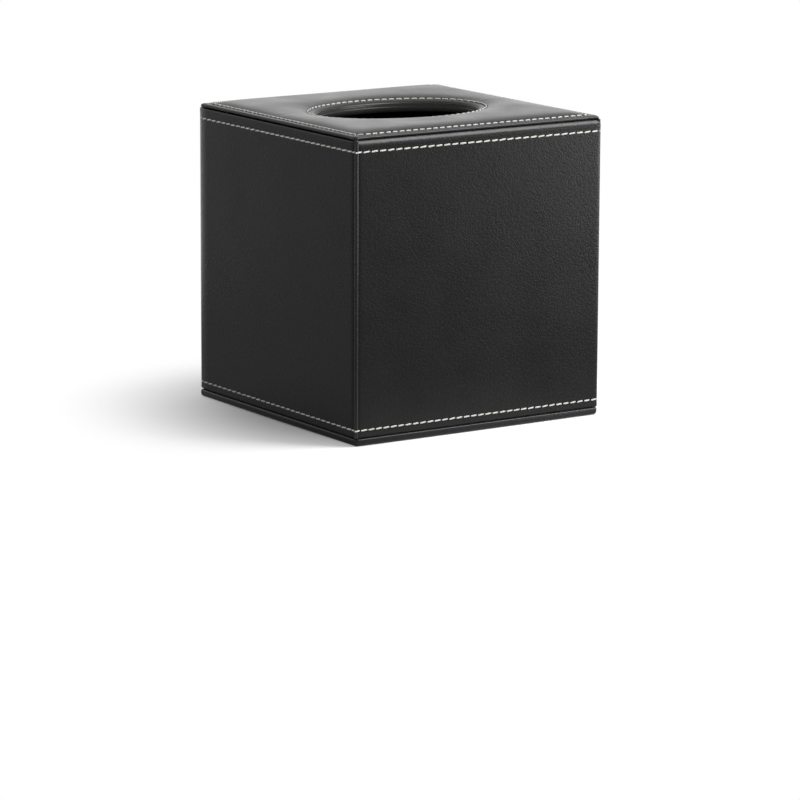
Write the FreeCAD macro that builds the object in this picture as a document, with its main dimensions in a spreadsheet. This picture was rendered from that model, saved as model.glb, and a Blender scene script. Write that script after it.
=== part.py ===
import FreeCAD, Part

import math
import os

import Sketcher
from FreeCAD import Placement, Rotation, Vector

# A cube tissue box: leatherette over fibreboard walls, a padded and stitched top
# with an oval opening, and a flap underneath that hinges on its back edge and is
# held shut by hidden magnets. X runs left to right, Y front to back, Z up. The
# origin is on the table, under the middle of the box.

doc = FreeCAD.newDocument("tissue_box")

# Driving dimensions in millimetres: name, value, what it measures.
SIZES = (
    ("box_width", 129.0, "outside of the left wall to outside of the right wall"),
    ("box_depth", 132.0, "outside of the front wall to outside of the back wall"),
    ("box_height", 135.0, "table to the stitched edge of the padded top"),
    ("leather", 0.7, "one layer of leatherette"),
    ("wall_cover", 1.2, "leatherette and its felt underlay on a wall"),
    ("wall_board", 3.0, "fibreboard of the four walls"),
    ("top_board", 3.0, "fibreboard of the top"),
    ("lining", 0.5, "flocked lining inside the walls, the top and the flap"),
    ("hem_radius", 1.0, "rounding of a wall's top and bottom hem"),
    ("edging_width", 1.5, "painted edge strip down each corner"),
    ("edging_radius", 0.4, "rounding of that strip"),
    ("panel_inset", 0.1, "step from a wall in to the edge of the padded top"),
    ("panel_corner", 2.0, "corner radius of the padded top, seen from above"),
    ("panel_edge_radius", 0.8, "rounding of the padded top's rolled edge"),
    ("backing", 0.7, "stiff card under the padding"),
    ("pad_rise", 1.5, "swell of the padding above its seams"),
    ("crown_run", 8.0, "width of the slope from a seam up to the full swell"),
    ("seam_flat", 0.6, "half-width that a seam presses flat"),
    ("opening_length", 79.0, "oval opening, left to right"),
    ("opening_width", 54.7, "oval opening, front to back"),
    ("opening_ledge", 0.6, "rim of the board that shows inside the opening"),
    ("edge_seam_inset", 4.6, "edge of the padded top in to its seam"),
    ("opening_seam_inset", 3.7, "edge of the opening out to its seam"),
    ("top_seam_drop", 4.4, "rim of a wall down to its top seam"),
    ("foot_seam_rise", 3.3, "foot of a wall up to its bottom seam"),
    ("side_seam_inset", 4.0, "corner of the back wall in to its side seams"),
    ("wall_stitch_pitch", 4.1, "one stitch to the next on a wall"),
    ("wall_stitch_length", 3.2, "visible thread of one stitch on a wall"),
    ("edge_stitch_pitch", 3.47, "one stitch to the next round the padded top"),
    ("edge_stitch_length", 2.4, "visible thread of one stitch there"),
    ("opening_stitch_pitch", 3.55, "one stitch to the next round the opening"),
    ("opening_stitch_length", 2.6, "visible thread of one stitch there"),
    ("thread_width", 0.7, "thickness of the sewing thread"),
    ("thread_rise", 0.3, "how far the thread stands out of the leatherette"),
    ("flap_board", 2.0, "fibreboard of the flap"),
    ("flap_gap", 0.7, "running gap between the flap and the foot of the walls"),
    ("flap_inset", 0.1, "step from a wall in to the edge of the flap"),
    ("flap_corner", 1.5, "corner radius of the flap, seen from below"),
    ("flap_edge_radius", 1.0, "rounding of the flap's lower edge"),
    ("hinge_grip", 2.1, "hinge leather glued to the flap's back edge"),
    ("hinge_side_gap", 3.0, "end of the hinge leather in from a side wall"),
    ("magnet_length", 12.0, "magnets, left to right"),
    ("magnet_spacing", 70.0, "one magnet to the other, centre to centre"),
    ("wall_magnet_thickness", 2.0, "magnet in the front wall, front to back"),
    ("wall_magnet_height", 4.0, "magnet in the front wall, bottom to top"),
    ("flap_magnet_width", 5.0, "magnet in the flap, front to back"),
    ("flap_magnet_thickness", 1.4, "magnet in the flap, bottom to top"),
    ("flap_magnet_inset", 1.0, "front edge of the flap's board in to its magnets"),
)

sheet = doc.addObject("Spreadsheet::Sheet", "sizes")
for line, (alias, value, meaning) in enumerate(SIZES, 1):
    sheet.set(f"A{line}", meaning)
    sheet.set(f"B{line}", str(value))
    sheet.setAlias(f"B{line}", alias)
doc.recompute()

# Heights above the table, worked out from those sizes.
FLAP_TOP = "(sizes.leather + sizes.flap_board + sizes.lining)"
FOOT = f"({FLAP_TOP} + sizes.flap_gap)"
RIM = "(sizes.box_height - 2 * sizes.leather - sizes.backing)"
BOARD_FOOT = f"({FOOT} + sizes.leather)"
BOARD_RIM = f"({RIM} - sizes.leather)"
BACKING_FOOT = f"({RIM} + sizes.leather)"
BACKING_TOP = f"({BACKING_FOOT} + sizes.backing)"
TOP_BOARD_FOOT = f"({BACKING_FOOT} - sizes.top_board)"
TOP_LINING_FOOT = f"({TOP_BOARD_FOOT} - sizes.lining)"
TOP_SEAM = f"({RIM} - sizes.top_seam_drop)"
FOOT_SEAM = f"({FOOT} + sizes.foot_seam_rise)"

# Half-sizes from the middle of the box outwards.
HALF_WIDTH = "(sizes.box_width / 2)"
HALF_DEPTH = "(sizes.box_depth / 2)"
COVER_AND_BOARD = "(sizes.wall_cover + sizes.wall_board)"

pieces = []


def size(expression):
    """The value that an expression of the sheet's cells has now."""
    return float(sheet.evalExpression(expression))


def near(value, expression):
    """Whether a coordinate lies on the place that an expression gives."""
    return abs(value - size(expression)) < 0.001


def new_body(label):
    """Start a body that is a piece of its own; the label names its file."""
    body = doc.addObject("PartDesign::Body", label)
    pieces.append(body)
    return body


def origin_feature(body, role):
    """One of a body's own origin planes or axes."""
    return next(item for item in body.Origin.OriginFeatures if item.Role == role)


def new_sketch(body, plane="XY_Plane", height="0"):
    """Open a sketch on an origin plane of a body, raised along the plane's normal."""
    sketch = body.newObject("Sketcher::SketchObject", body.Name + "_outline")
    sketch.AttachmentSupport = [(origin_feature(body, plane), "")]
    sketch.MapMode = "FlatFace"
    sketch.setExpression("AttachmentOffset.Base.z", height)
    return sketch


def bind(sketch, rule, expression):
    """Add a constraint to a sketch and bind its value to an expression."""
    sketch.setExpression(f"Constraints[{sketch.addConstraint(rule)}]", expression)


def draw_rectangle(sketch, left, right, low, high):
    """Draw a rectangle whose corners are bound to four expressions."""
    corners = ((left, low), (right, low), (right, high), (left, high))
    points = [Vector(size(x), size(y), 0) for x, y in corners]
    first = sketch.GeometryCount
    for index in range(4):
        sketch.addGeometry(Part.LineSegment(points[index], points[(index + 1) % 4]), False)
    for index in range(4):
        following = first + (index + 1) % 4
        sketch.addConstraint(Sketcher.Constraint("Coincident", first + index, 2, following, 1))
    for index, (x, y) in enumerate(corners, first):
        bind(sketch, Sketcher.Constraint("DistanceX", -1, 1, index, 1, size(x)), x)
        bind(sketch, Sketcher.Constraint("DistanceY", -1, 1, index, 1, size(y)), y)


def draw_centred(sketch, half_x, half_y):
    """Draw a rectangle about the middle from its half-sizes."""
    draw_rectangle(sketch, f"-{half_x}", half_x, f"-{half_y}", half_y)


def draw_oval(sketch, length, width):
    """Draw an ellipse about the middle, its length left to right."""
    curve = Part.Ellipse(Vector(0, 0, 0), size(length) / 2, size(width) / 2)
    index = sketch.addGeometry(curve, False)
    sketch.exposeInternalGeometry(index)
    sketch.addConstraint(Sketcher.Constraint("Coincident", index, 3, -1, 1))
    sketch.addConstraint(Sketcher.Constraint("Horizontal", index + 1))
    bind(sketch, Sketcher.Constraint("Distance", index + 1, size(length)), length)
    bind(sketch, Sketcher.Constraint("Distance", index + 2, size(width)), width)


def pad(body, sketch, length, both_ways=False):
    """Pad a sketch up from its plane, or by half the length to each side of it."""
    made = body.newObject("PartDesign::Pad", body.Name + "_pad")
    made.Profile = sketch
    made.setExpression("Length", length)
    if both_ways:
        made.SideType = "Symmetric"
    doc.recompute()
    return made


def pocket(body, sketch, depth, upward):
    """Cut a sketch out of a body, and make sure that all of the cut was taken."""
    before = body.Shape.Volume
    made = body.newObject("PartDesign::Pocket", body.Name + "_pocket")
    made.Profile = sketch
    made.setExpression("Length", depth)
    made.Reversed = upward
    doc.recompute()
    expected = Part.makeFace(sketch.Shape, "Part::FaceMakerBullseye").Area * size(depth)
    taken = before - body.Shape.Volume
    if abs(taken - expected) > 0.001 * expected:
        raise RuntimeError(f"{body.Label}: the pocket takes {taken:.2f} of {expected:.2f}")


def loft(body, kind, lower, upper):
    """Add or take away the straight-sided solid between two sketches."""
    made = body.newObject(kind, body.Name + "_loft")
    made.Profile = lower
    made.Sections = [upper]
    made.Ruled = True
    doc.recompute()


def round_edges(body, radius, chosen):
    """Fillet the edges of a body whose bounding boxes pass the test."""
    base = body.Tip
    edges = enumerate(body.Shape.Edges, 1)
    names = [f"Edge{number}" for number, edge in edges if chosen(edge.BoundBox)]
    made = body.newObject("PartDesign::Fillet", body.Name + "_rounding")
    made.Base = (base, names)
    made.setExpression("Radius", radius)
    doc.recompute()


# ---------------------------------------------------------------- the four walls

# Each wall is drawn as the front wall and turned about Z into its place.
# name: (turn in degrees, half the wall's own span, middle of the box to its face)
WALLS = {
    "front": (0, HALF_WIDTH, HALF_DEPTH),
    "right": (90, HALF_DEPTH, HALF_WIDTH),
    "back": (180, HALF_WIDTH, HALF_DEPTH),
    "left": (270, HALF_DEPTH, HALF_WIDTH),
}
# These two lap over the ends of the other two.
LAPPING_WALLS = ("front", "back")

MAGNET_INSET = f"({COVER_AND_BOARD} - (sizes.wall_board + sizes.wall_magnet_thickness) / 2)"
MAGNET_FRONT = f"({MAGNET_INSET} - {HALF_DEPTH})"
MAGNET_BACK = f"({MAGNET_FRONT} + sizes.wall_magnet_thickness)"


def wall_layer(label, wall, end, outer, thickness, foot, rim):
    """Make a flat layer of a wall: end is what it leaves free at each of the wall's
    ends, and outer how deep it lies behind the wall's face."""
    body = new_body(label)
    _, reach, face = WALLS[wall]
    section = new_sketch(body, "YZ_Plane")
    draw_rectangle(section, f"{outer} - {face}", f"{outer} + {thickness} - {face}", foot, rim)
    pad(body, section, f"2 * ({reach} - ({end}))", both_ways=True)
    return body


def turn_into_place(body, wall):
    """Turn a piece that was drawn on the front wall onto its own wall."""
    body.Placement = Placement(Vector(0, 0, 0), Rotation(Vector(0, 0, 1), WALLS[wall][0]))


def draw_magnet_pair(sketch, front, back):
    """Draw the outlines of the two magnets of a pair, seen from above."""
    for side in ("-", ""):
        middle = f"{side}sizes.magnet_spacing / 2"
        left = f"{middle} - sizes.magnet_length / 2"
        right = f"{middle} + sizes.magnet_length / 2"
        draw_rectangle(sketch, left, right, front, back)


def make_wall_board(wall):
    """A fibreboard wall. The front one has a seat in its foot for each magnet."""
    end = "sizes.wall_cover" if wall in LAPPING_WALLS else COVER_AND_BOARD
    place = ("sizes.wall_cover", "sizes.wall_board", BOARD_FOOT, BOARD_RIM)
    body = wall_layer(f"{wall}_board", wall, end, *place)
    if wall == "front":
        seats = new_sketch(body, height=BOARD_FOOT)
        draw_magnet_pair(seats, MAGNET_FRONT, MAGNET_BACK)
        pocket(body, seats, "sizes.wall_magnet_height", upward=True)
    turn_into_place(body, wall)


def make_wall_cover(wall):
    """The leatherette of a wall, turned in over the top and bottom of its board. Its
    hems are rounded as far as its thickness allows. On the back wall it runs straight
    on into the hinge, so that hem stays square."""
    _, reach, face = WALLS[wall]
    lapping = wall in LAPPING_WALLS
    end = "sizes.edging_width" if lapping else "sizes.wall_cover"
    body = wall_layer(f"{wall}_cover", wall, end, "0", "sizes.wall_cover", FOOT, RIM)
    turn_ins = new_sketch(body, "YZ_Plane")
    board_depths = (f"sizes.wall_cover - {face}", f"{COVER_AND_BOARD} - {face}")
    draw_rectangle(turn_ins, *board_depths, FOOT, BOARD_FOOT)
    draw_rectangle(turn_ins, *board_depths, BOARD_RIM, RIM)
    turn_in_end = end if lapping else COVER_AND_BOARD
    pad(body, turn_ins, f"2 * ({reach} - {turn_in_end})", both_ways=True)
    hems = (RIM,) if wall == "back" else (RIM, FOOT)

    def is_hem(box):
        on_face = near(box.YMin, f"-{face}") and near(box.YMax, f"-{face}")
        return on_face and box.ZLength < 0.001 and any(near(box.ZMin, hem) for hem in hems)

    round_edges(body, "min(sizes.hem_radius; 0.9 * sizes.wall_cover)", is_hem)
    turn_into_place(body, wall)


def make_wall_lining(wall):
    """The flocked lining on the inner face of a wall's board."""
    end = COVER_AND_BOARD if wall in LAPPING_WALLS else f"{COVER_AND_BOARD} + sizes.lining"
    place = (COVER_AND_BOARD, "sizes.lining", BOARD_FOOT, TOP_LINING_FOOT)
    turn_into_place(wall_layer(f"{wall}_lining", wall, end, *place), wall)


def make_corner_edging():
    """The painted strips that close the four corners between the covers."""
    body = new_body("corner_edging")
    plan = new_sketch(body, height=FOOT)
    for x_side in ("-", ""):
        for y_side in ("-", ""):
            draw_rectangle(
                plan,
                f"{x_side}({HALF_WIDTH} - sizes.edging_width)",
                f"{x_side}{HALF_WIDTH}",
                f"{y_side}({HALF_DEPTH} - sizes.wall_cover)",
                f"{y_side}{HALF_DEPTH}",
            )
    pad(body, plan, f"{RIM} - {FOOT}")

    def is_outer(box):
        return near(abs(box.Center.x), HALF_WIDTH) and near(abs(box.Center.y), HALF_DEPTH)

    round_edges(body, "sizes.edging_radius", is_outer)


def make_wall_magnets():
    """The magnets let into the foot of the front wall's board."""
    body = new_body("wall_magnets")
    plan = new_sketch(body, height=BOARD_FOOT)
    draw_magnet_pair(plan, MAGNET_FRONT, MAGNET_BACK)
    pad(body, plan, "sizes.wall_magnet_height")


# ------------------------------------------------------------------ the padded top

BETWEEN_BOARDS = (f"({HALF_WIDTH} - {COVER_AND_BOARD})", f"({HALF_DEPTH} - {COVER_AND_BOARD})")
PANEL_EDGE = (f"({HALF_WIDTH} - sizes.panel_inset)", f"({HALF_DEPTH} - sizes.panel_inset)")
BACKING_EDGE = tuple(f"({edge} - sizes.leather)" for edge in PANEL_EDGE)
EDGE_SEAM = tuple(f"({edge} - sizes.edge_seam_inset)" for edge in PANEL_EDGE)
CROWN_FOOT = tuple(f"({seam} - sizes.seam_flat)" for seam in EDGE_SEAM)
CROWN_TOP = tuple(f"({foot} - sizes.crown_run)" for foot in CROWN_FOOT)

OPENING = ("sizes.opening_length", "sizes.opening_width")
OPENING_SEAM = tuple(f"({across} + 2 * sizes.opening_seam_inset)" for across in OPENING)
DIP_FOOT = tuple(f"({across} + 2 * sizes.seam_flat)" for across in OPENING_SEAM)
DIP_TOP = tuple(f"({across} + 2 * sizes.crown_run)" for across in DIP_FOOT)
LIP_INSIDE = tuple(f"({across} - 2 * sizes.opening_ledge)" for across in OPENING)
LIP_OUTSIDE = tuple(f"({across} + 2 * sizes.leather)" for across in LIP_INSIDE)


def plate(body, edge, hole, foot, thickness):
    """Pad a flat plate with an oval hole through it."""
    plan = new_sketch(body, height=foot)
    draw_centred(plan, *edge)
    draw_oval(plan, *hole)
    pad(body, plan, thickness)


def round_upright_corners(body, edge, radius):
    """Round the four corners of a plate, seen from above."""

    def is_corner(box):
        return near(abs(box.Center.x), edge[0]) and near(abs(box.Center.y), edge[1])

    round_edges(body, radius, is_corner)


def swell(body, seam_height):
    """Raise a crown that slopes up from the edge seam and down to the opening's seam."""
    crown_height = f"{seam_height} + sizes.pad_rise"
    crown_foot = new_sketch(body, height=seam_height)
    draw_centred(crown_foot, *CROWN_FOOT)
    crown_top = new_sketch(body, height=crown_height)
    draw_centred(crown_top, *CROWN_TOP)
    loft(body, "PartDesign::AdditiveLoft", crown_foot, crown_top)
    dip_foot = new_sketch(body, height=seam_height)
    draw_oval(dip_foot, *DIP_FOOT)
    dip_top = new_sketch(body, height=crown_height)
    draw_oval(dip_top, *DIP_TOP)
    loft(body, "PartDesign::SubtractiveLoft", dip_foot, dip_top)


def make_top_board():
    """The board between the walls that carries the padded top."""
    body = new_body("top_board")
    plate(body, BETWEEN_BOARDS, LIP_OUTSIDE, TOP_BOARD_FOOT, "sizes.top_board")
    return body


def make_top_lining():
    """The flocked lining under the top board."""
    body = new_body("top_lining")
    plate(body, BETWEEN_BOARDS, LIP_OUTSIDE, TOP_LINING_FOOT, "sizes.lining")


def make_opening_lip():
    """The leatherette strip that lines the edge of the board round the opening."""
    body = new_body("opening_lip")
    plan = new_sketch(body, height=TOP_LINING_FOOT)
    draw_oval(plan, *LIP_OUTSIDE)
    draw_oval(plan, *LIP_INSIDE)
    pad(body, plan, f"{BACKING_FOOT} - {TOP_LINING_FOOT}")
    return body


def make_top_backing():
    """The stiff card that the padding and its leatherette are sewn to."""
    body = new_body("top_backing")
    plate(body, BACKING_EDGE, OPENING, BACKING_FOOT, "sizes.backing")
    round_upright_corners(body, BACKING_EDGE, "sizes.panel_corner - sizes.leather")
    return body


def make_top_padding():
    """The foam between the two seams of the top."""
    body = new_body("top_padding")
    swell(body, BACKING_TOP)
    return body


def make_top_cover(*core_pieces):
    """The leatherette of the top, rolled round the edge of what it covers."""
    blank = doc.addObject("PartDesign::Body", "top_cover_blank")
    plate(blank, PANEL_EDGE, OPENING, RIM, f"sizes.box_height - {RIM}")
    round_upright_corners(blank, PANEL_EDGE, "sizes.panel_corner")

    def is_rolled(box):
        outside = box.XMax > size(EDGE_SEAM[0]) or box.XMin < -size(EDGE_SEAM[0])
        outside = outside or box.YMax > size(EDGE_SEAM[1]) or box.YMin < -size(EDGE_SEAM[1])
        return outside and box.ZLength < 0.001

    round_edges(blank, "sizes.panel_edge_radius", is_rolled)
    swell(blank, "sizes.box_height")
    core = doc.addObject("Part::MultiFuse", "top_cover_core")
    core.Shapes = list(core_pieces)
    cover = doc.addObject("Part::Cut", "top_cover")
    cover.Base = blank
    cover.Tool = core
    pieces.append(cover)


# --------------------------------------------------------------------- the sewing


def half_row(span, pitch):
    """Half the length of the whole stitches that fit in a span."""
    return f"(floor({span} / {pitch}) * {pitch} / 2)"


def sew(body, seeds, height, thickness, direction, span, pitch):
    """Pad the first stitch of some parallel rows and repeat it along a direction."""
    first = new_sketch(body, height=height)
    for seed in seeds:
        draw_rectangle(first, *seed)
    stitch = pad(body, first, thickness)
    row = body.newObject("PartDesign::LinearPattern", body.Name + "_row")
    row.Originals = [stitch]
    row.Direction = (origin_feature(body, direction), [""])
    row.Mode = "Spacing"
    row.setExpression("Offset", pitch)
    row.setExpression("Occurrences", f"floor({span} / {pitch})")
    body.Tip = row
    doc.recompute()


def stitch_span(span, pitch, length):
    """Start and end of the first stitch of a row that is centred in its span."""
    start = f"(({pitch} - {length}) / 2 - {half_row(span, pitch)})"
    return start, f"({start} + {length})"


def proud_of(face, side):
    """The two limits of the thread on the outside of a wall's face."""
    limits = (f"{side}{face}", f"{side}({face} + sizes.thread_rise)")
    return limits if side == "" else limits[::-1]


def about(place, side):
    """The two limits of the thread's width about a seam."""
    return f"{side}{place} - sizes.thread_width / 2", f"{side}{place} + sizes.thread_width / 2"


WALL_STITCH = ("sizes.wall_stitch_pitch", "sizes.wall_stitch_length")
EDGE_STITCH = ("sizes.edge_stitch_pitch", "sizes.edge_stitch_length")


def make_wall_stitching(label, seam):
    """One level seam on the front, left and right walls."""
    body = new_body(label)
    foot = f"{seam} - sizes.thread_width / 2"
    front = (*stitch_span("sizes.box_width", *WALL_STITCH), *proud_of(HALF_DEPTH, "-"))
    along = ("X_Axis", "sizes.box_width", WALL_STITCH[0])
    sew(body, [front], foot, "sizes.thread_width", *along)
    ends = stitch_span("sizes.box_depth", *WALL_STITCH)
    sides = [(*proud_of(HALF_WIDTH, side), *ends) for side in ("-", "")]
    along = ("Y_Axis", "sizes.box_depth", WALL_STITCH[0])
    sew(body, sides, foot, "sizes.thread_width", *along)


def make_back_stitching():
    """The rectangle of stitches round the back wall."""
    body = new_body("back_wall_stitching")
    side_seam = f"({HALF_WIDTH} - sizes.side_seam_inset)"
    across = f"(2 * {side_seam})"
    ends = stitch_span(across, *WALL_STITCH)
    for seam in (FOOT_SEAM, TOP_SEAM):
        level = (*ends, *proud_of(HALF_DEPTH, ""))
        foot = f"{seam} - sizes.thread_width / 2"
        sew(body, [level], foot, "sizes.thread_width", "X_Axis", across, WALL_STITCH[0])
    tall = f"({TOP_SEAM} - {FOOT_SEAM})"
    start, _ = stitch_span(tall, *WALL_STITCH)
    foot = f"({TOP_SEAM} + {FOOT_SEAM}) / 2 + {start}"
    uprights = [(*about(side_seam, side), *proud_of(HALF_DEPTH, "")) for side in ("-", "")]
    sew(body, uprights, foot, WALL_STITCH[1], "Z_Axis", tall, WALL_STITCH[0])


def make_edge_stitching():
    """The square of stitches round the padded top."""
    body = new_body("top_edge_stitching")
    across, along = (f"(2 * {seam})" for seam in EDGE_SEAM)
    ends = stitch_span(across, *EDGE_STITCH)
    rows = [(*ends, *about(EDGE_SEAM[1], side)) for side in ("-", "")]
    thread = ("sizes.box_height", "sizes.thread_rise")
    sew(body, rows, *thread, "X_Axis", across, EDGE_STITCH[0])
    ends = stitch_span(along, *EDGE_STITCH)
    rows = [(*about(EDGE_SEAM[0], side), *ends) for side in ("-", "")]
    sew(body, rows, *thread, "Y_Axis", along, EDGE_STITCH[0])


def make_opening_stitching():
    """Single stitches laid round the oval seam at equal steps along the curve."""
    length, width, rise = (
        size(f"sizes.{name}") for name in ("opening_stitch_length", "thread_width", "thread_rise")
    )
    half_length, half_width = (size(across) / 2 for across in OPENING_SEAM)
    seam = Part.Ellipse(Vector(0, 0, size("sizes.box_height")), half_length, half_width).toShape()
    count = math.floor(seam.Length / size("sizes.opening_stitch_pitch"))
    stitches = []
    for point in seam.discretize(Number=count + 1)[:-1]:
        tangent = seam.tangentAt(seam.Curve.parameter(point))
        stitch = Part.makeBox(length, width, rise, Vector(-length / 2, -width / 2, 0))
        stitch.Placement = Placement(point, Rotation(Vector(1, 0, 0), tangent))
        stitches.append(stitch)
    group = doc.addObject("Part::Feature", "opening_stitching")
    group.Shape = Part.makeCompound(stitches)
    pieces.append(group)


# ----------------------------------------------------------------------- the flap

FLAP_SIDE = f"({HALF_WIDTH} - sizes.flap_inset)"
FLAP_FRONT = f"({HALF_DEPTH} - sizes.flap_inset)"
FLAP_BACK = f"({HALF_DEPTH} - sizes.leather)"
# The board and the lining lie inside the rim that the leatherette makes.
FLAP_INSIDE = (
    f"-({FLAP_SIDE} - sizes.leather)",
    f"({FLAP_SIDE} - sizes.leather)",
    f"-({FLAP_FRONT} - sizes.leather)",
    f"({FLAP_BACK} - sizes.leather)",
)
FLAP_MAGNET_FRONT = f"({FLAP_INSIDE[2]} + sizes.flap_magnet_inset)"
FLAP_MAGNET_BACK = f"({FLAP_MAGNET_FRONT} + sizes.flap_magnet_width)"
FLAP_BOARD_TOP = "(sizes.leather + sizes.flap_board)"
FLAP_MAGNET_FOOT = f"({FLAP_BOARD_TOP} - sizes.flap_magnet_thickness)"


def make_flap_cover():
    """The leatherette of the flap: a shallow tray round its board and lining."""
    body = new_body("flap_cover")
    plan = new_sketch(body)
    draw_rectangle(plan, f"-{FLAP_SIDE}", FLAP_SIDE, f"-{FLAP_FRONT}", FLAP_BACK)
    pad(body, plan, FLAP_TOP)

    def is_corner(box):
        return near(abs(box.Center.x), FLAP_SIDE) and box.ZLength > 0.001

    round_edges(body, "sizes.flap_corner", is_corner)
    round_edges(body, "sizes.flap_edge_radius", lambda box: box.ZMax < 0.001)
    inside = new_sketch(body, height="sizes.leather")
    draw_rectangle(inside, *FLAP_INSIDE)
    pocket(body, inside, f"{FLAP_TOP} - sizes.leather", upward=True)


def make_flap_board():
    """The fibreboard of the flap, with a seat for each magnet in its upper face."""
    body = new_body("flap_board")
    plan = new_sketch(body, height="sizes.leather")
    draw_rectangle(plan, *FLAP_INSIDE)
    pad(body, plan, "sizes.flap_board")
    seats = new_sketch(body, height=FLAP_BOARD_TOP)
    draw_magnet_pair(seats, FLAP_MAGNET_FRONT, FLAP_MAGNET_BACK)
    pocket(body, seats, "sizes.flap_magnet_thickness", upward=False)


def make_flap_lining():
    """The flocked lining that the tissues lie on."""
    body = new_body("flap_lining")
    plan = new_sketch(body, height=FLAP_BOARD_TOP)
    draw_rectangle(plan, *FLAP_INSIDE)
    pad(body, plan, "sizes.lining")


def make_flap_magnets():
    """The magnets let into the flap's board, under the ones in the front wall."""
    body = new_body("flap_magnets")
    plan = new_sketch(body, height=FLAP_MAGNET_FOOT)
    draw_magnet_pair(plan, FLAP_MAGNET_FRONT, FLAP_MAGNET_BACK)
    pad(body, plan, "sizes.flap_magnet_thickness")


def make_hinge_strip():
    """The leatherette that runs on down from the back wall and carries the flap."""
    body = new_body("hinge_strip")
    plan = new_sketch(body, height=f"{FLAP_TOP} - sizes.hinge_grip")
    side = f"({HALF_WIDTH} - sizes.hinge_side_gap)"
    draw_rectangle(plan, f"-{side}", side, FLAP_BACK, HALF_DEPTH)
    pad(body, plan, "sizes.hinge_grip + sizes.flap_gap")


# ------------------------------------------------------------------- the assembly

for wall_name in WALLS:
    make_wall_board(wall_name)
    make_wall_cover(wall_name)
    make_wall_lining(wall_name)
make_corner_edging()
make_wall_magnets()

make_top_lining()
make_top_cover(make_top_board(), make_opening_lip(), make_top_backing(), make_top_padding())

make_wall_stitching("wall_top_stitching", TOP_SEAM)
make_wall_stitching("wall_bottom_stitching", FOOT_SEAM)
make_back_stitching()
make_edge_stitching()
make_opening_stitching()

make_hinge_strip()
make_flap_cover()
make_flap_board()
make_flap_lining()
make_flap_magnets()

doc.recompute()
for item in doc.Objects:
    if "Invalid" in item.State or "Error" in item.State:
        raise RuntimeError(f"{item.Label} did not build: {item.State}")
for piece in pieces:
    if piece.Shape.isNull() or not piece.Shape.isValid():
        raise RuntimeError(f"{piece.Label} has no valid shape")

os.makedirs("parts", exist_ok=True)
for piece in pieces:
    piece.Shape.exportStep(os.path.join("parts", f"{piece.Label}.step"))
    box = piece.Shape.BoundBox
    print(f"{piece.Label}: {len(piece.Shape.Solids)} solids, {piece.Shape.Volume:.1f} mm3,"
          f" z {box.ZMin:.2f} to {box.ZMax:.2f}")
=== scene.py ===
import math
import random
from collections import Counter
from contextlib import contextmanager

import bmesh
import bpy
from mathutils import Matrix, Vector


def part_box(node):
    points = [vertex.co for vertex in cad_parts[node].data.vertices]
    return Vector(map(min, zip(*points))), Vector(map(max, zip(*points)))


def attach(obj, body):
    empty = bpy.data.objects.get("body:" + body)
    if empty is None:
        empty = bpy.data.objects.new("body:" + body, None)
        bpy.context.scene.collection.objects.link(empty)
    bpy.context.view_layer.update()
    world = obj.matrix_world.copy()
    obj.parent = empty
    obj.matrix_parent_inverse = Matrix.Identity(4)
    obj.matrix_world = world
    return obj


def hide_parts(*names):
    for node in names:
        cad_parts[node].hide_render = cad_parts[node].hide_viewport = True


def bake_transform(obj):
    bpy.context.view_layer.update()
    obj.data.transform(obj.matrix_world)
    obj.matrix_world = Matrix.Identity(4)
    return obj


# A cube tissue box in black leatherette: four stitched walls with a beaded edge down
# each corner, a padded top stitched round its rim and round an oval opening, and a
# flap underneath that hinges on its back edge. Metres, Z up, front towards -Y.

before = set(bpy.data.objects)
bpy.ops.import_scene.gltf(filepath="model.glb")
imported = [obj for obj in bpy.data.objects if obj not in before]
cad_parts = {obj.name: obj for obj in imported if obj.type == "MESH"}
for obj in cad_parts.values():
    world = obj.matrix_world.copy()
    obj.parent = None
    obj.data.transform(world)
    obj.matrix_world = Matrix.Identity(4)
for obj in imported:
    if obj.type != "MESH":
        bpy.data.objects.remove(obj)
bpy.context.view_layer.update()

MM = 0.001
# Corners nearer to each other than this are in the same place.
CLOSE = 1e-6
chance = random.Random(11)


# ------------------------------------------------------------------ working by hand


def only(*pieces):
    """Select these pieces and nothing else."""
    bpy.ops.object.select_all(action="DESELECT")
    for piece in pieces:
        piece.select_set(True)
    bpy.context.view_layer.objects.active = pieces[0]


def start_piece(name, primitive, scale=(1, 1, 1), **where):
    """Add a primitive at its size and place, and name it."""
    bpy.ops.object.select_all(action="DESELECT")
    primitive(**where)
    piece = bpy.context.object
    piece.scale = scale
    piece.name = piece.data.name = name
    bpy.ops.object.transform_apply(location=True, rotation=True, scale=True)
    return piece


@contextmanager
def editing(piece):
    """Shape a piece in edit mode."""
    only(piece)
    bpy.ops.object.mode_set(mode="EDIT")
    yield
    bpy.ops.object.mode_set(mode="OBJECT")


def pick(piece, kind, test):
    """Select the corners, edges or faces of a piece that pass a test."""
    bpy.ops.mesh.select_mode(type=kind)
    bpy.ops.mesh.select_all(action="DESELECT")
    mesh = bmesh.from_edit_mesh(piece.data)
    for part in {"VERT": mesh.verts, "EDGE": mesh.edges, "FACE": mesh.faces}[kind]:
        if test(part):
            part.select_set(True)
    mesh.select_flush_mode()
    bmesh.update_edit_mesh(piece.data)


def cut_across(place, direction):
    """Cut the whole piece with a plane."""
    bpy.ops.mesh.select_all(action="SELECT")
    bpy.ops.mesh.bisect(plane_co=place, plane_no=direction)


def shift(*step):
    bpy.ops.transform.translate(value=step)


def finish_with(piece, kind, **settings):
    """Add a modifier and apply it."""
    only(piece)
    modifier = piece.modifiers.new(kind.title(), kind)
    for setting, value in settings.items():
        setattr(modifier, setting, value)
    bpy.ops.object.modifier_apply(modifier=modifier.name)


def smooth(piece, angle=40):
    only(piece)
    bpy.ops.object.shade_smooth_by_angle(angle=math.radians(angle))


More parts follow.
